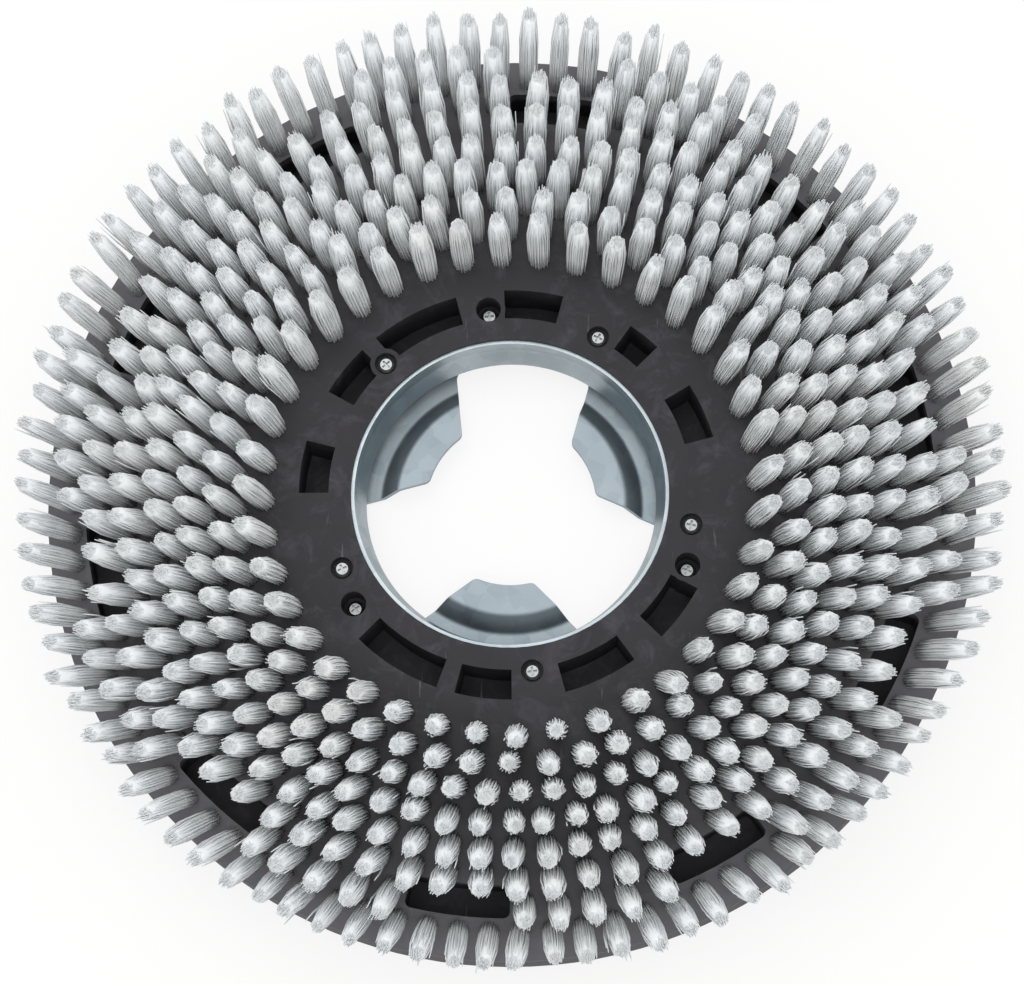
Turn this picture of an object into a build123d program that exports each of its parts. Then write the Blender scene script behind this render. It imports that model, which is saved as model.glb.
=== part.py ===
"""Round floor scrubber brush: moulded block, steel drive parts and eight rows of bristle tufts.

Millimetres. The brush lies on its back with the bristles up. The origin is on the hub axis,
on the plane of the back, and +Z runs through the bristles.
"""

import os
from math import atan2, cos, degrees, radians, tan

from build123d import *

# Moulded block
block_height = 31.0
rim_overhang = 12.6
rim_slope = 15.6
rim_margin = 2.4
back_chamfer = 2.0

# Tuft rows, from the hub outwards
first_row_radius = 108.7
row_pitch = 12.1
row_counts = [40, 50, 62, 68, 72, 72, 80, 92]
row_first_angles = [2.4, 4.4, 5.5, 1.0, 1.3, 1.6, 29.5, 1.8]
group_count = 10
group_size = 5

# One tuft
tuft_sides = 5
tuft_root_radius = 3.7
tuft_tip_radius = 4.65
trim_height = 37.0
inner_splay = 12.5
outer_splay = 26.0
splay_curve = 1.6

# Moulded windows in the gaps of the grouped row
window_margin = 1.4
window_arc = 14.0
window_depth = 20.0
window_corner = 3.0

# Core-out pockets round the hub: one arc length for each station, none at a blank station
pocket_inner_radius = 80.4
pocket_outer_radius = 93.6
pocket_first_angle = 15.5
pocket_arcs = [16.0, 9.5, 16.5, 25.0, 15.0, 15.0, 0.0, 25.0, 15.5, 20.5, 16.5, 0.0]
pocket_floor = 3.0

# Pressed steel collar in the hub bore
collar_radius = 70.5
collar_sheet = 1.5
collar_set_down = 1.8
collar_wall = 9.7
collar_taper_height = 9.3
collar_lip_radius = 65.0
collar_bend_radius = 5.0
collar_clearance = 0.1
seat_ledge = 1.8

# Pressed steel lug plate on the back
plate_radius = 93.0
plate_sheet = 3.0
plate_clearance = 0.2
lug_rise = 8.4
step_foot_radius = 58.7
step_top_radius = 51.5
step_bend_radius = 2.5
pilot_radius = 38.1
lobe_count = 3
lobe_angle = 85.6
lobe_radius = 69.6
lobe_root_half_width = 19.2
lobe_flare = 10.6
lobe_corner = 6.0
lug_corner = 3.5

# Cross-recess screws
screw_radius = 2.0
screw_clearance = 0.25
thread_clearance = 0.05
screw_tip_set_back = 0.4
head_radius = 3.7
head_height = 2.6
head_crown = 1.1
recess_length = 4.2
recess_width = 1.0
recess_depth = 1.5
boss_wall = 2.0
face_screw_count = 5
face_screw_circle = 81.5
face_screw_angle = 61.4
face_seat_depth = 4.0
face_sink_radius = 5.0
deep_screw_count = 3
deep_screw_circle = 85.2
deep_screw_angle = 96.9
deep_seat_depth = 13.0
deep_sink_radius = 5.6

os.makedirs("parts", exist_ok=True)

# Heights and radii that several pieces share
face_height = block_height
tip_height = face_height + trim_height
row_total = len(row_counts)
grouped_row = row_total - 2
row_radii = [first_row_radius + row_pitch * row for row in range(row_total)]
rim_start_radius = row_radii[-2] + tuft_root_radius + rim_margin
block_radius = row_radii[-1] + rim_overhang
rim_edge_height = face_height - (block_radius - rim_start_radius) * tan(radians(rim_slope))
bore_radius = collar_radius + collar_clearance
collar_top = face_height - collar_set_down
collar_bend_height = collar_top - collar_wall
collar_lip_height = collar_bend_height - collar_taper_height
collar_inner_radius = collar_radius - collar_sheet
collar_lean = atan2(collar_inner_radius - collar_lip_radius, collar_taper_height)
collar_lip_outer = collar_lip_radius + collar_sheet / cos(collar_lean)
collar_outer_bend = collar_lip_height + (collar_radius - collar_lip_outer) / tan(collar_lean)
seat_low_radius = collar_lip_outer + collar_clearance
seat_top_height = collar_lip_height + (bore_radius - seat_low_radius) / tan(collar_lean)
ledge_under = collar_lip_height - seat_ledge
plate_seat_radius = plate_radius + plate_clearance
face_seat = face_height - face_seat_depth
deep_seat = face_height - deep_seat_depth


def ring_sector(inner_radius, outer_radius, start_angle, arc_angle, corner=0.0):
    """Flat piece of a ring between two radii, from start_angle over arc_angle degrees."""
    with BuildSketch() as sector:
        with BuildLine():
            outer_arc = CenterArc((0, 0), outer_radius, start_angle, arc_angle)
            inner_arc = CenterArc((0, 0), inner_radius, start_angle, arc_angle)
            Line(outer_arc @ 0, inner_arc @ 0)
            Line(outer_arc @ 1, inner_arc @ 1)
        make_face()
        if corner > 0:
            fillet(sector.vertices(), corner)
    return sector.sketch


def tuft_body(row):
    """One leaning tuft of a row, on the +X side, cut to the block below and trimmed flat above."""
    lean = radians(inner_splay + (outer_splay - inner_splay) * (row / (row_total - 1)) ** splay_curve)
    on_rim = row_radii[row] > rim_start_radius
    surface_tilt = tan(radians(rim_slope)) if on_rim else 0.0
    root_height = face_height - max(0.0, row_radii[row] - rim_start_radius) * surface_tilt
    root = (row_radii[row], 0, root_height)
    length = (tip_height - root_height) / cos(lean)
    spread = atan2(tuft_tip_radius - tuft_root_radius, length)
    bundle_plane = Plane(root, x_dir=(0, 1, 0), z_dir=(tan(lean), 0, 1))
    root_plane = Plane(root, x_dir=(0, 1, 0), z_dir=(surface_tilt, 0, 1))
    with BuildPart() as tuft:
        with BuildSketch(bundle_plane.offset(-tuft_root_radius)):
            RegularPolygon(tuft_root_radius, tuft_sides)
        extrude(amount=tuft_root_radius + length + tuft_tip_radius, taper=-degrees(spread))
        split(bisect_by=root_plane, keep=Keep.TOP)
        split(bisect_by=Plane.XY.offset(tip_height), keep=Keep.BOTTOM)
    return tuft.part


def cross_screw(seat_height, tip_end):
    """Pan-head screw on the Z axis with a cross recess, its head on seat_height."""
    head_top = seat_height + head_height
    with BuildPart() as screw:
        with BuildSketch(Plane.XZ):
            with BuildLine():
                Polyline((0, tip_end), (screw_radius, tip_end), (screw_radius, seat_height))
                Line((screw_radius, seat_height), (head_radius, seat_height))
                Line((head_radius, seat_height), (head_radius, head_top - head_crown))
                Line((head_radius, head_top - head_crown), (head_radius - head_crown, head_top))
                Line((head_radius - head_crown, head_top), (0, head_top))
                Line((0, head_top), (0, tip_end))
            make_face()
        revolve(axis=Axis.Z)
        with BuildSketch(Plane.XY.offset(head_top)):
            Rectangle(recess_length, recess_width)
            Rectangle(recess_width, recess_length)
        extrude(amount=-recess_depth, mode=Mode.SUBTRACT)
    return screw.part


# Block: a turned section, then the windows, pockets and screw holes
with BuildPart() as brush_block:
    with BuildSketch(Plane.XZ):
        with BuildLine():
            Polyline(
                (plate_seat_radius, 0),
                (block_radius - back_chamfer, 0),
                (block_radius, back_chamfer),
                (block_radius, rim_edge_height),
                (rim_start_radius, face_height),
                (bore_radius, face_height),
                (bore_radius, seat_top_height),
                (seat_low_radius, collar_lip_height),
                (seat_low_radius, ledge_under),
                (bore_radius, ledge_under),
                (bore_radius, plate_sheet),
                (plate_seat_radius, plate_sheet),
                close=True,
            )
        make_face()
    revolve(axis=Axis.Z)

    # Windows sit midway between the groups of the grouped row
    window_inner = row_radii[grouped_row - 1] + tuft_root_radius + window_margin
    window_outer = row_radii[grouped_row + 1] - tuft_root_radius - window_margin
    window_first = row_first_angles[grouped_row] + (360 / group_count - window_arc) / 2
    with BuildSketch(Plane.XY.offset(face_height)):
        with PolarLocations(0, group_count):
            add(ring_sector(window_inner, window_outer, window_first, window_arc, window_corner))
    extrude(amount=-window_depth, mode=Mode.SUBTRACT)

    # Pockets leave a round boss at each screw
    with BuildSketch(Plane.XY.offset(face_height)):
        for station, arc in enumerate(pocket_arcs):
            if arc > 0:
                start = pocket_first_angle + station * 360 / len(pocket_arcs)
                add(ring_sector(pocket_inner_radius, pocket_outer_radius, start, arc))
        with PolarLocations(face_screw_circle, face_screw_count, start_angle=face_screw_angle):
            Circle(face_sink_radius + boss_wall, mode=Mode.SUBTRACT)
        with PolarLocations(deep_screw_circle, deep_screw_count, start_angle=deep_screw_angle):
            Circle(deep_sink_radius + boss_wall, mode=Mode.SUBTRACT)
    extrude(amount=plate_sheet + pocket_floor - face_height, mode=Mode.SUBTRACT)

    with Locations(Plane.XY.offset(face_height)):
        with PolarLocations(face_screw_circle, face_screw_count, start_angle=face_screw_angle):
            CounterBoreHole(screw_radius + screw_clearance, face_sink_radius, face_seat_depth)
        with PolarLocations(deep_screw_circle, deep_screw_count, start_angle=deep_screw_angle):
            CounterBoreHole(screw_radius + screw_clearance, deep_sink_radius, deep_seat_depth)

brush_block.part.label = "brush_block"
export_step(brush_block.part, "parts/brush_block.step")

# Collar: straight wall with a tapered inward lip that sits on the block's conical ledge
with BuildPart() as hub_collar:
    with BuildSketch(Plane.XZ) as collar_section:
        with BuildLine():
            Polyline(
                (collar_inner_radius, collar_top),
                (collar_radius, collar_top),
                (collar_radius, collar_outer_bend),
                (collar_lip_outer, collar_lip_height),
                (collar_lip_radius, collar_lip_height),
                (collar_inner_radius, collar_bend_height),
                close=True,
            )
        make_face()
        bends = collar_section.vertices().group_by(Axis.Y)
        fillet(bends[1] + bends[2], collar_bend_radius)
    revolve(axis=Axis.Z)

hub_collar.part.label = "hub_collar"
export_step(hub_collar.part, "parts/hub_collar.step")

# Lug plate: flat flange, conical step up to the lugs, and a three-lobed opening
step_angle = atan2(lug_rise, step_foot_radius - step_top_radius)
bend_shift = plate_sheet * tan(step_angle / 2)
lug_top = plate_sheet + lug_rise
with BuildPart() as lug_plate:
    with BuildSketch(Plane.XZ) as plate_section:
        with BuildLine():
            Polyline(
                (plate_radius, 0),
                (plate_radius, plate_sheet),
                (step_foot_radius, plate_sheet),
                (step_top_radius, lug_top),
                (0, lug_top),
                (0, lug_rise),
                (step_top_radius - bend_shift, lug_rise),
                (step_foot_radius - bend_shift, 0),
                close=True,
            )
        make_face()
        step_corners = plate_section.vertices().filter_by(
            lambda corner: step_top_radius - 2 * bend_shift < corner.X < step_foot_radius + bend_shift
        )
        fillet(step_corners, step_bend_radius)
    revolve(axis=Axis.Z)

    with BuildSketch() as lobe_opening:
        Circle(pilot_radius)
        with BuildSketch(mode=Mode.PRIVATE) as one_lobe:
            with BuildLine():
                root_left = (0, lobe_root_half_width)
                root_right = (0, -lobe_root_half_width)
                far_half_width = lobe_root_half_width + lobe_radius * tan(radians(lobe_flare))
                Polyline(
                    root_right,
                    (lobe_radius, -far_half_width),
                    (lobe_radius, far_half_width),
                    root_left,
                    close=True,
                )
            make_face()
            Circle(lobe_radius, mode=Mode.INTERSECT)
            fillet(one_lobe.vertices().group_by(Axis.X)[-1], lobe_corner)
        with PolarLocations(0, lobe_count, start_angle=lobe_angle):
            add(one_lobe.sketch)
        lug_tips = lobe_opening.vertices().filter_by(
            lambda corner: abs((corner.X**2 + corner.Y**2) ** 0.5 - pilot_radius) < plate_clearance
        )
        fillet(lug_tips, lug_corner)
    extrude(amount=lug_top, mode=Mode.SUBTRACT)

    with Locations(Plane.XY.offset(plate_sheet)):
        with PolarLocations(face_screw_circle, face_screw_count, start_angle=face_screw_angle):
            Hole(screw_radius + thread_clearance, plate_sheet)
        with PolarLocations(deep_screw_circle, deep_screw_count, start_angle=deep_screw_angle):
            Hole(screw_radius + thread_clearance, plate_sheet)

lug_plate.part.label = "lug_plate"
export_step(lug_plate.part, "parts/lug_plate.step")

# Screws, from the bristle side through the block into the lug plate
with BuildPart() as face_screws:
    with PolarLocations(face_screw_circle, face_screw_count, start_angle=face_screw_angle):
        add(cross_screw(face_seat, screw_tip_set_back))

face_screws.part.label = "face_screws"
export_step(face_screws.part, "parts/face_screws.step")

with BuildPart() as deep_screws:
    with PolarLocations(deep_screw_circle, deep_screw_count, start_angle=deep_screw_angle):
        add(cross_screw(deep_seat, screw_tip_set_back))

deep_screws.part.label = "deep_screws"
export_step(deep_screws.part, "parts/deep_screws.step")

# Tuft rows: full circles, apart from the grouped row, which leaves room for the windows
for row, count in enumerate(row_counts):
    pitch = 360 / count
    tuft = tuft_body(row)
    with BuildPart() as tuft_row:
        if row == grouped_row:
            for member in range(group_size):
                member_angle = row_first_angles[row] + (member - (group_size - 1) / 2) * pitch
                with PolarLocations(0, group_count, start_angle=member_angle):
                    add(tuft)
        else:
            with PolarLocations(0, count, start_angle=row_first_angles[row]):
                add(tuft)
    row_name = f"tuft_row_{row + 1}"
    tuft_row.part.label = row_name
    export_step(tuft_row.part, f"parts/{row_name}.step")
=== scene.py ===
import math

import bpy
import numpy as np
from mathutils import Matrix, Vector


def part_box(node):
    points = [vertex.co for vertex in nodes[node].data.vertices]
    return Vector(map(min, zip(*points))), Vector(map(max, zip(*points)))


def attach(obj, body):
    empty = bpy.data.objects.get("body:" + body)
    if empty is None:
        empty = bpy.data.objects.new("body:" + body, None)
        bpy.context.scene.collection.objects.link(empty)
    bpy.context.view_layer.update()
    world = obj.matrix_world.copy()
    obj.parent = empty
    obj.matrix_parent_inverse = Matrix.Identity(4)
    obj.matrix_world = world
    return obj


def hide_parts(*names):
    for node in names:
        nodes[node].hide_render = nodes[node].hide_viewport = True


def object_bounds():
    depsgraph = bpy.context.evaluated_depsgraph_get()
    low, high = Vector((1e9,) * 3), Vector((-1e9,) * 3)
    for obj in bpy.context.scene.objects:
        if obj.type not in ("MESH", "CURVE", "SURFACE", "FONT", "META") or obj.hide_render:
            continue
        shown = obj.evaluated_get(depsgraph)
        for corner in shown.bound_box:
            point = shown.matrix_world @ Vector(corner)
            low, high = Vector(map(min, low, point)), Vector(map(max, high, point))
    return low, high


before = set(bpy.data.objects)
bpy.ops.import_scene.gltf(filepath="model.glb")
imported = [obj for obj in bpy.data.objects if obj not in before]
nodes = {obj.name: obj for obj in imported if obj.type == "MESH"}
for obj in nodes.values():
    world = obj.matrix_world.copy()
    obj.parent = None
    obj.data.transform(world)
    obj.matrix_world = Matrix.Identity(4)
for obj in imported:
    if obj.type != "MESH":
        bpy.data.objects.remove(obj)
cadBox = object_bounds()
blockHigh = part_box("brush_block")[1]
print("frame loaded:", len(nodes), "nodes")

mm = 0.001


def linear(hexColour):
    # sRGB hex to linear RGBA
    parts = [int(hexColour[i:i + 2], 16) / 255 for i in (0, 2, 4)]
    return [c / 12.92 if c <= 0.04045 else ((c + 0.055) / 1.055) ** 2.4 for c in parts] + [1.0]


def addNode(tree, kind, settings=None, links=None):
    # one node: settings are its properties or input values, links are input name to output socket
    node = tree.nodes.new(kind)
    for key, value in (settings or {}).items():
        if isinstance(key, str) and hasattr(node, key):
            setattr(node, key, value)
        else:
            node.inputs[key].default_value = value
    for key, socket in (links or {}).items():
        tree.links.new(socket, node.inputs[key])
    return node


def newMaterial(name):
    # material with an empty node tree
    material = bpy.data.materials.new(name)
    material.use_nodes = True
    material.node_tree.nodes.clear()
    return material, material.node_tree


def objectPlace(tree):
    # Object coordinates, in metres of the frame
    return addNode(tree, "ShaderNodeTexCoord").outputs["Object"]


def finishMaterial(tree, shader):
    addNode(tree, "ShaderNodeOutputMaterial", links={"Surface": shader.outputs[0]})


# the field colour, reach and share paint light onto the face among the tufts
polypropylene = dict(body="222125", pale="38363b", dust="68666d", scuff="85838a", tuftFieldLight="97959b",
                     mottleMm=30.0, dustMm=14.0, grainMm=0.9, scuffMm=2.4, fieldInnerMm=104.0, fieldFadeMm=45.0,
                     rimLowMm=23.0, rimHighMm=26.0, fieldShare=0.32)


def mouldedPolypropylene():
    # moulded PP: dark satin skin, flow mottling, dusty smudges, fine grain and a few pale drag marks
    material, tree = newMaterial("mouldedPolypropylene")
    place = objectPlace(tree)
    p = polypropylene
    mottle = addNode(tree, "ShaderNodeTexNoise", {"Scale": 1 / (p["mottleMm"] * mm), "Detail": 4.0},
                     {"Vector": place})
    tone = addNode(tree, "ShaderNodeMix", {"data_type": "RGBA", 6: linear(p["body"]), 7: linear(p["pale"])},
                   {0: mottle.outputs["Fac"]})
    smudge = addNode(tree, "ShaderNodeTexNoise", {"Scale": 1 / (p["dustMm"] * mm), "Detail": 6.0,
                                                  "Roughness": 0.68, "Distortion": 0.6}, {"Vector": place})
    smudgeMask = addNode(tree, "ShaderNodeMapRange",
                         {"From Min": 0.5, "From Max": 0.8, "To Max": 0.4}, {"Value": smudge.outputs["Fac"]})
    dusted = addNode(tree, "ShaderNodeMix", {"data_type": "RGBA", 7: linear(p["dust"])},
                     {0: smudgeMask.outputs[0], 6: tone.outputs[2]})
    drag = addNode(tree, "ShaderNodeMapping", {"Rotation": (0, 0, 0.5), "Scale": (1.0, 0.09, 1.0)},
                   {"Vector": place})
    marks = addNode(tree, "ShaderNodeTexNoise", {"Scale": 1 / (p["scuffMm"] * mm), "Detail": 3.0},
                    {"Vector": drag.outputs[0]})
    markMask = addNode(tree, "ShaderNodeMapRange",
                       {"From Min": 0.69, "From Max": 0.8, "To Max": 0.5}, {"Value": marks.outputs["Fac"]})
    skin = addNode(tree, "ShaderNodeMix", {"data_type": "RGBA", 7: linear(p["scuff"])},
                   {0: markMask.outputs[0], 6: dusted.outputs[2]})
    # painted light: the face among the tufts is paler, by distance from the axis, on the face only
    spot = addNode(tree, "ShaderNodeSeparateXYZ", links={0: place})
    flat = addNode(tree, "ShaderNodeCombineXYZ", links={0: spot.outputs[0], 1: spot.outputs[1]})
    away = addNode(tree, "ShaderNodeVectorMath", {"operation": "LENGTH"}, {0: flat.outputs[0]})
    field = addNode(tree, "ShaderNodeMapRange",
                    {"From Min": p["fieldInnerMm"] * mm, "From Max": (p["fieldInnerMm"] + p["fieldFadeMm"]) * mm,
                     "To Max": p["fieldShare"]}, {"Value": away.outputs["Value"]})
    face = addNode(tree, "ShaderNodeMapRange", {"From Min": p["rimLowMm"] * mm, "From Max": p["rimHighMm"] * mm},
                   {"Value": spot.outputs[2]})
    fieldLightMask = addNode(tree, "ShaderNodeMath", {"operation": "MULTIPLY"},
                       {0: field.outputs[0], 1: face.outputs[0]})
    fieldLitSkin = addNode(tree, "ShaderNodeMix", {"data_type": "RGBA", 7: linear(p["tuftFieldLight"])},
                       {0: fieldLightMask.outputs[0], 6: skin.outputs[2]})
    grain = addNode(tree, "ShaderNodeTexNoise", {"Scale": 1 / (p["grainMm"] * mm), "Detail": 2.0},
                    {"Vector": place})
    rough = addNode(tree, "ShaderNodeMapRange", {"To Min": 0.5, "To Max": 0.7}, {"Value": smudge.outputs["Fac"]})
    relief = addNode(tree, "ShaderNodeBump", {"Strength": 0.12, "Distance": 0.15 * mm},
                     {"Height": grain.outputs["Fac"]})
    finishMaterial(tree, addNode(tree, "ShaderNodeBsdfPrincipled", {"IOR": 1.49, "Specular IOR Level": 0.25},
                                 {"Base Color": fieldLitSkin.outputs[2], "Roughness": rough.outputs[0],
                                  "Normal": relief.outputs[0]}))
    return material


zincCoat = dict(spangleMm=7.0, cloudMm=26.0, grainMm=0.7)


def zincPlatedSteel(name, cool, pale, roughLow, roughHigh):
    # zinc-plated pressed sheet: blue-grey metal, soft spangle and cloudy patches of gloss
    material, tree = newMaterial(name)
    place = objectPlace(tree)
    z = zincCoat
    spangle = addNode(tree, "ShaderNodeTexVoronoi", {"Scale": 1 / (z["spangleMm"] * mm)}, {"Vector": place})
    cloud = addNode(tree, "ShaderNodeTexNoise", {"Scale": 1 / (z["cloudMm"] * mm), "Detail": 5.0},
                    {"Vector": place})
    cells = addNode(tree, "ShaderNodeSeparateColor", links={"Color": spangle.outputs["Color"]})
    blend = addNode(tree, "ShaderNodeMath", {"operation": "MULTIPLY_ADD", 1: 0.25},
                    {0: cells.outputs[0], 2: cloud.outputs["Fac"]})
    coat = addNode(tree, "ShaderNodeMix", {"data_type": "RGBA", 6: linear(cool), 7: linear(pale)},
                   {0: blend.outputs[0]})
    rough = addNode(tree, "ShaderNodeMapRange", {"To Min": roughLow, "To Max": roughHigh},
                    {"Value": cloud.outputs["Fac"]})
    grain = addNode(tree, "ShaderNodeTexNoise", {"Scale": 1 / (z["grainMm"] * mm)}, {"Vector": place})
    relief = addNode(tree, "ShaderNodeBump", {"Strength": 0.06, "Distance": 0.1 * mm},
                     {"Height": grain.outputs["Fac"]})
    finishMaterial(tree, addNode(tree, "ShaderNodeBsdfPrincipled", {"Metallic": 1.0},
                                 {"Base Color": coat.outputs[2], "Roughness": rough.outputs[0],
                                  "Normal": relief.outputs[0]}))
    return material


nylon = dict(dull="d6dbde", bright="eef1f3", warm="e8e6e0", rootLight="fcfdfd", warmMm=60.0)


def extrudedNylon():
    # drawn nylon filament: pale grey, each strand its own tone, painted light making it lighter towards the root
    # against the shade deep in the tuft, a warmer cast in broad patches
    material, tree = newMaterial("extrudedNylon")
    place = objectPlace(tree)
    n = nylon
    strand = addNode(tree, "ShaderNodeAttribute", {"attribute_name": "strand"})
    tone = addNode(tree, "ShaderNodeMix", {"data_type": "RGBA", 6: linear(n["dull"]), 7: linear(n["bright"])},
                   {0: strand.outputs["Fac"]})
    patch = addNode(tree, "ShaderNodeTexNoise", {"Scale": 1 / (n["warmMm"] * mm)}, {"Vector": place})
    warmth = addNode(tree, "ShaderNodeMapRange", {"From Min": 0.5, "From Max": 0.8, "To Max": 0.5},
                     {"Value": patch.outputs["Fac"]})
    cast = addNode(tree, "ShaderNodeMix", {"data_type": "RGBA", 7: linear(n["warm"])},
                   {0: warmth.outputs[0], 6: tone.outputs[2]})
    # painted light: the root end is made paler to offset the shade deep in the tuft
    reach = addNode(tree, "ShaderNodeAttribute", {"attribute_name": "reach"})
    rootLightShare = addNode(tree, "ShaderNodeMapRange", {"From Max": 0.9, "To Min": 0.9, "To Max": 0.0},
                      {"Value": reach.outputs["Fac"]})
    colour = addNode(tree, "ShaderNodeMix", {"data_type": "RGBA", 7: linear(n["rootLight"])},
                     {0: rootLightShare.outputs[0], 6: cast.outputs[2]})
    finishMaterial(tree, addNode(tree, "ShaderNodeBsdfPrincipled", {"Roughness": 0.5, "IOR": 1.53},
                                 {"Base Color": colour.outputs[2]}))
    return material


def dress(nodeName, material):
    mesh = nodes[nodeName].data
    mesh.materials.clear()
    mesh.materials.append(material)


plateSteel = zincPlatedSteel("zincPlatedSteel", "74808a", "abb5ba", 0.46, 0.68)
collarSteel = zincPlatedSteel("zincPlatedCollar", "7b878e", "b8c1c5", 0.32, 0.48)
dress("brush_block", mouldedPolypropylene())
dress("hub_collar", collarSteel)
dress("lug_plate", plateSteel)
screwSteel = zincPlatedSteel("brightZincScrew", "85898b", "b9bbbb", 0.38, 0.5)
dress("face_screws", screwSteel)
dress("deep_screws", screwSteel)
print("block, steel and screws dressed")

# tuft rows as in the solids, in metres and degrees, then the filaments of one tuft
tufts = dict(
    firstRadius=108.7 * mm, rowPitch=12.1 * mm,
    counts=[40, 50, 62, 68, 72, 72, 80, 92],
    firstAngles=[2.4, 4.4, 5.5, 1.0, 1.3, 1.6, 29.5, 1.8],
    groupedRow=6, groupCount=10, groupSize=5,
    rimStart=187.4 * mm, rimSlope=15.6,
    reach=[0.0, 0.35, 0.7, 1.0], bundleRadii=[3.95 * mm, 4.3 * mm, 4.45 * mm, 3.3 * mm],
    rowPlump=[1.13, 1.13, 1.13, 1.13, 1.13, 1.12, 1.08, 1.0],
    innerSplay=12.5, outerSplay=26.0, splayCurve=1.6,
    filaments=76, filamentRadius=0.46 * mm, tipShare=0.5, coreShare=0.85, coreReach=0.88, sunk=1.2 * mm,
    bow=0.2, leanJitter=1.6, plumpLow=0.9, plumpHigh=1.14, strandJitter=0.35 * mm, heartShade=0.9,
    raggedTip=1.3 * mm, domedTip=2.6 * mm, slantTip=1.7 * mm, strayShare=0.02, strayReach=2.6 * mm, seed=17,
)


def tuftAngles(row):
    # full circle of one row in radians, or groups with gaps between them in the grouped row
    t = tufts
    pitch = 360 / t["counts"][row]
    if row == t["groupedRow"]:
        member = (np.arange(t["groupSize"]) - (t["groupSize"] - 1) / 2) * pitch
        group = np.arange(t["groupCount"]) * 360 / t["groupCount"]
        return np.radians(t["firstAngles"][row] + (group[:, None] + member[None, :]).ravel())
    return np.radians(t["firstAngles"][row] + np.arange(t["counts"][row]) * pitch)


def meshPiece(name, points, quads, triangles, values):
    # puts whole arrays of points, four-sided and three-sided faces into one smooth mesh
    mesh = bpy.data.meshes.new(name)
    mesh.vertices.add(len(points))
    mesh.vertices.foreach_set("co", points.astype(np.float32).ravel())
    corners = np.concatenate([quads.ravel(), triangles.ravel()])
    sizes = np.concatenate([np.full(len(quads), 4), np.full(len(triangles), 3)])
    mesh.loops.add(len(corners))
    mesh.loops.foreach_set("vertex_index", corners.astype(np.int32))
    mesh.polygons.add(len(sizes))
    mesh.polygons.foreach_set("loop_start", (np.cumsum(sizes) - sizes).astype(np.int32))
    mesh.polygons.foreach_set("use_smooth", np.ones(len(sizes), bool))
    for key, value in values.items():
        mesh.attributes.new(key, "FLOAT", "POINT").data.foreach_set("value", value.astype(np.float32))
    mesh.update(calc_edges=True)
    mesh.validate()
    piece = bpy.data.objects.new(name, mesh)
    bpy.context.scene.collection.objects.link(piece)
    return piece


def turned(angle, out, side, high):
    # radial, sideways and height arrays, first axis the tuft, to points turned to each tuft's angle
    turn = angle.reshape((-1,) + (1,) * (out.ndim - 1))
    x = out * np.cos(turn) - side * np.sin(turn)
    y = out * np.sin(turn) + side * np.cos(turn)
    return np.stack([x, y, np.broadcast_to(high, x.shape)], -1).reshape(-1, 3)


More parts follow.
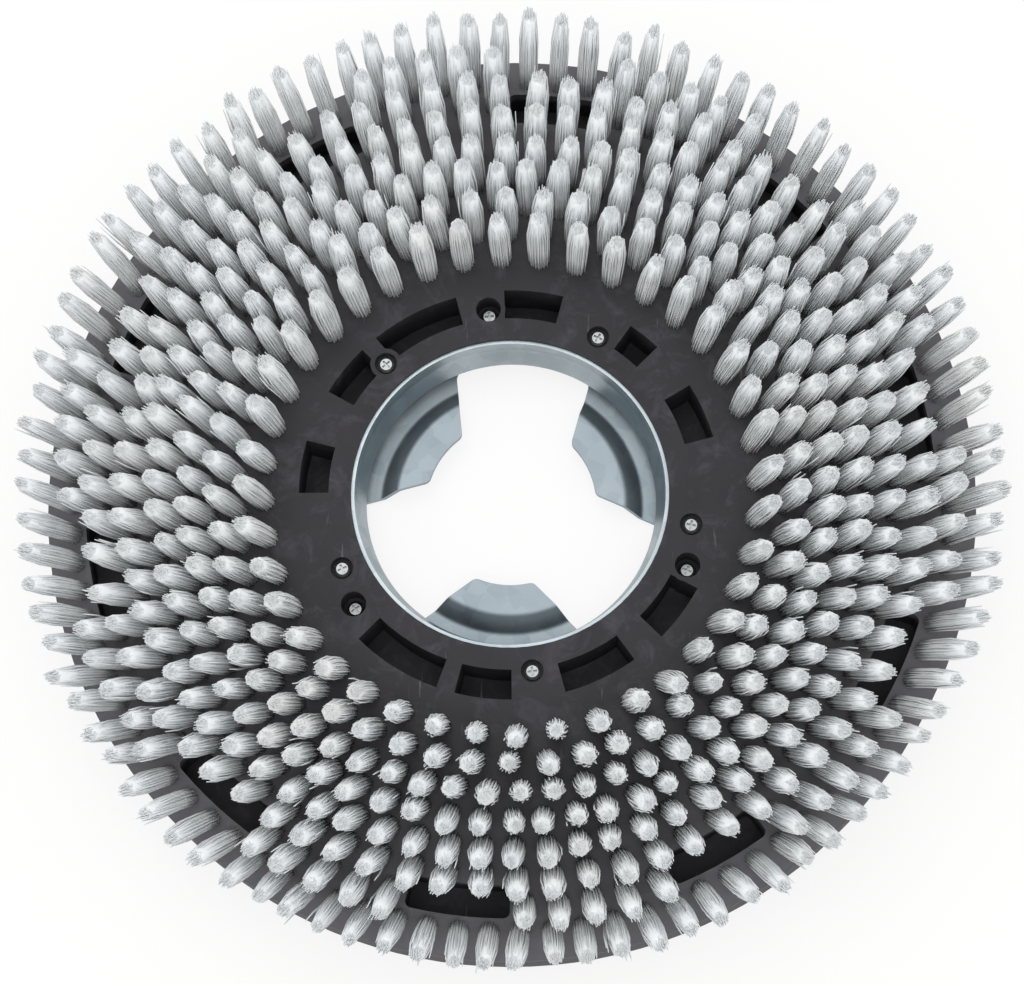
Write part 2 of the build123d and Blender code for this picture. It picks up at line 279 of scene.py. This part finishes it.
def filamentRow(row):
    # each filament is a three-sided taper along a bowed line: root + lean rise w - bow w (1 - w), set off
    # by its place on a sunflower disc times the bundle's radius at w, which swells and closes at the tip
    t = tufts
    random = np.random.default_rng(t["seed"] + row)
    angle = tuftAngles(row)
    tuftCount, strands = len(angle), t["filaments"]
    share = row / (len(t["counts"]) - 1)
    lean = t["innerSplay"] + (t["outerSplay"] - t["innerSplay"]) * share ** t["splayCurve"]
    radius = t["firstRadius"] + t["rowPitch"] * row
    drop = max(0.0, radius - t["rimStart"]) * math.tan(math.radians(t["rimSlope"]))
    rootZ = blockHigh.z - drop - t["sunk"]
    trimZ = cadBox[1][2]
    index = np.arange(strands)
    disc = np.sqrt((index + 0.5) / strands)
    turn = index * math.pi * (3 - math.sqrt(5)) + random.uniform(0, 6.28, tuftCount)[:, None]
    across = disc * np.cos(turn)
    along = disc * np.sin(turn)
    outLean = np.tan(np.radians(lean + random.normal(0, t["leanJitter"], tuftCount)))[:, None]
    sideLean = np.tan(np.radians(random.normal(0, t["leanJitter"], tuftCount)))[:, None]
    plump = random.uniform(t["plumpLow"], t["plumpHigh"], tuftCount)[:, None, None]
    stray = (random.random((tuftCount, strands)) < t["strayShare"]) * t["strayReach"]
    slant = t["slantTip"] * (1 + np.cos(turn - random.uniform(0, 6.28, tuftCount)[:, None])) * disc
    tipZ = trimZ - t["domedTip"] * disc ** 2 - slant
    tipZ = tipZ - np.abs(random.normal(0, t["raggedTip"], (tuftCount, strands)))
    rise = (tipZ - rootZ)[..., None]
    jitter = random.normal(0, t["strandJitter"], (2, tuftCount, strands))
    w = np.array(t["reach"])
    bundle = np.array(t["bundleRadii"]) * t["rowPlump"][row]
    fan = bundle * (1 + (plump - 1) * w)
    lineOut, lineSide = outLean[..., None], sideLean[..., None]
    out = radius - t["sunk"] * lineOut + (rise + t["sunk"]) * lineOut * w
    out = out - t["bow"] * rise * lineOut * w * (1 - w)
    out = out + fan * across[..., None] + (jitter[0] + stray * across)[..., None] * w ** 2
    side = rise * lineSide * w + fan * along[..., None] + (jitter[1] + stray * along)[..., None] * w ** 2
    high = rootZ + rise * w
    corner = np.radians([90, 210, 330])
    thick = (t["filamentRadius"] * np.array([1.0, 1.0, 1.0, t["tipShare"]]))[:, None]
    points = turned(angle, out[..., None] + thick * np.cos(corner), side[..., None] + thick * np.sin(corner),
                    high[..., None])
    first = (np.arange(tuftCount * strands) * 12)[:, None, None]
    here = np.arange(3)
    after = (here + 1) % 3
    base = first + np.array([0, 3, 6])[:, None]
    quads = np.stack([base + here, base + after, base + after + 3, base + here + 3], -1).reshape(-1, 4)
    triangles = np.concatenate([first[:, 0] + np.array([9, 10, 11]), first[:, 0] + np.array([2, 1, 0])])
    # packed heart of the tuft: a six-sided spindle on the same bowed line, short of the tips
    coreW = np.array([0.0, 0.5, 1.0]) * t["coreReach"]
    rise = trimZ - rootZ
    out = radius - t["sunk"] * outLean + (rise + t["sunk"]) * outLean * coreW
    out = out - t["bow"] * rise * outLean * coreW * (1 - coreW)
    side = rise * sideLean * coreW
    thick = (t["coreShare"] * np.interp(coreW, w, bundle) * (1 + (plump[:, 0] - 1) * coreW))[..., None]
    corner = np.radians(np.arange(6) * 60)
    heart = turned(angle, out[..., None] + thick * np.cos(corner), side[..., None] + thick * np.sin(corner),
                   (rootZ + rise * coreW)[:, None])
    first = (len(points) + np.arange(tuftCount) * 18)[:, None, None]
    here = np.arange(6)
    after = (here + 1) % 6
    base = first + np.array([0, 6])[:, None]
    walls = np.stack([base + here, base + after, base + after + 6, base + here + 6], -1).reshape(-1, 4)
    caps = first + np.array([[12, 13, 14, 15], [12, 15, 16, 17], [3, 2, 1, 0], [5, 4, 3, 0]])
    strand = np.concatenate([np.repeat(random.random(tuftCount * strands), 12),
                             np.full(len(heart), t["heartShade"])])
    reach = np.concatenate([np.tile(np.repeat(w, 3), tuftCount * strands),
                            np.tile(np.repeat(coreW, 6), tuftCount)])
    return meshPiece(f"bristleRow{row + 1}", np.concatenate([points, heart]),
                     np.concatenate([quads, walls, caps.reshape(-1, 4)]), triangles,
                     dict(strand=strand, reach=reach))


bristleMaterial = extrudedNylon()
for row in range(len(tufts["counts"])):
    piece = filamentRow(row)
    piece.data.materials.append(bristleMaterial)
    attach(piece, "root")
    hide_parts(f"tuft_row_{row + 1}")
print("bristles set:", len(tufts["counts"]), "rows")

stage = dict(floorHalf=3.0, floorLevel=-0.2 * mm, floorColour="f4f4f2", floorGlow=0.8, skyStrength=0.9,
             keyPlace=(-0.25, 0.6, 1.5), keySize=0.9, keyWatts=5.0,
             fillPlace=(0.1, -0.7, 1.7), fillSize=0.9, fillWatts=5.0)


def seenByCamera(tree):
    # 1 for rays that show the background: camera, glossy and transmission rays
    path = addNode(tree, "ShaderNodeLightPath")
    first = addNode(tree, "ShaderNodeMath", {"operation": "MAXIMUM"},
                    {0: path.outputs["Is Camera Ray"], 1: path.outputs["Is Glossy Ray"]})
    return addNode(tree, "ShaderNodeMath", {"operation": "MAXIMUM"},
                   {0: first.outputs[0], 1: path.outputs["Is Transmission Ray"]}).outputs[0]


def paleFloor():
    # matt paper sweep: shows near white and keeps a soft share of the shadow
    material, tree = newMaterial("mattPaperFloor")
    paper = addNode(tree, "ShaderNodeBsdfDiffuse", {"Color": linear(stage["floorColour"])})
    glow = addNode(tree, "ShaderNodeEmission", {"Color": (1, 1, 1, 1), "Strength": 1.0})
    share = addNode(tree, "ShaderNodeMath", {"operation": "MULTIPLY", 1: stage["floorGlow"]},
                    {0: seenByCamera(tree)})
    mixed = addNode(tree, "ShaderNodeMixShader", links={0: share.outputs[0], 1: paper.outputs[0],
                                                        2: glow.outputs[0]})
    side = addNode(tree, "ShaderNodeNewGeometry")
    clear = addNode(tree, "ShaderNodeBsdfTransparent")
    # clear from underneath, so the back can be seen
    finishMaterial(tree, addNode(tree, "ShaderNodeMixShader",
                                 links={0: side.outputs["Backfacing"], 1: mixed.outputs[0], 2: clear.outputs[0]}))
    half, level = stage["floorHalf"], stage["floorLevel"]
    mesh = bpy.data.meshes.new("studioFloor")
    corners = [(-half, -half, level), (half, -half, level), (half, half, level), (-half, half, level)]
    mesh.from_pydata(corners, [], [(0, 1, 2, 3)])
    mesh.materials.append(material)
    floor = bpy.data.objects.new("studioFloor", mesh)
    bpy.context.scene.collection.objects.link(floor)


def studioSky():
    world = bpy.data.worlds.new("studioSky")
    bpy.context.scene.world = world
    world.use_nodes = True
    tree = world.node_tree
    tree.nodes.clear()
    span = addNode(tree, "ShaderNodeMapRange", {"To Min": stage["skyStrength"], "To Max": 1.0},
                   {"Value": seenByCamera(tree)})
    light = addNode(tree, "ShaderNodeBackground", {"Color": (1, 1, 1, 1)}, {"Strength": span.outputs[0]})
    addNode(tree, "ShaderNodeOutputWorld", links={"Surface": light.outputs[0]})


def softLamp(name, place, size, watts):
    lamp = bpy.data.lights.new(name, "AREA")
    lamp.size, lamp.energy = size, watts
    holder = bpy.data.objects.new(name, lamp)
    holder.location = place
    holder.rotation_euler = (-holder.location).to_track_quat("-Z", "Y").to_euler()
    bpy.context.scene.collection.objects.link(holder)


paleFloor()
studioSky()
softLamp("keyLamp", stage["keyPlace"], stage["keySize"], stage["keyWatts"])
softLamp("fillLamp", stage["fillPlace"], stage["fillSize"], stage["fillWatts"])

# camera fitted to the photograph: eye over the hub, measured from the face of the block
view = dict(lensMm=103.3, eye=(42.0 * mm, -332.2 * mm, 1256.0 * mm),
            right=(0.9995, 0.0080, -0.0305), up=(0.0, 0.9668, 0.2554), back=(0.0315, -0.2553, 0.9663))
camera = bpy.data.cameras.new("photoCamera")
camera.sensor_fit = "HORIZONTAL"
camera.sensor_width = 36.0
camera.lens = view["lensMm"]
eye = (view["eye"][0], view["eye"][1], view["eye"][2] + blockHigh.z)
cameraHolder = bpy.data.objects.new("photoCamera", camera)
cameraHolder.matrix_world = Matrix([
    (view["right"][i], view["up"][i], view["back"][i], eye[i]) for i in range(3)
] + [(0, 0, 0, 1)])
bpy.context.scene.collection.objects.link(cameraHolder)
bpy.context.scene.camera = cameraHolder
bpy.context.scene.view_settings.view_transform = "Standard"
print("stage, lamps and camera set")
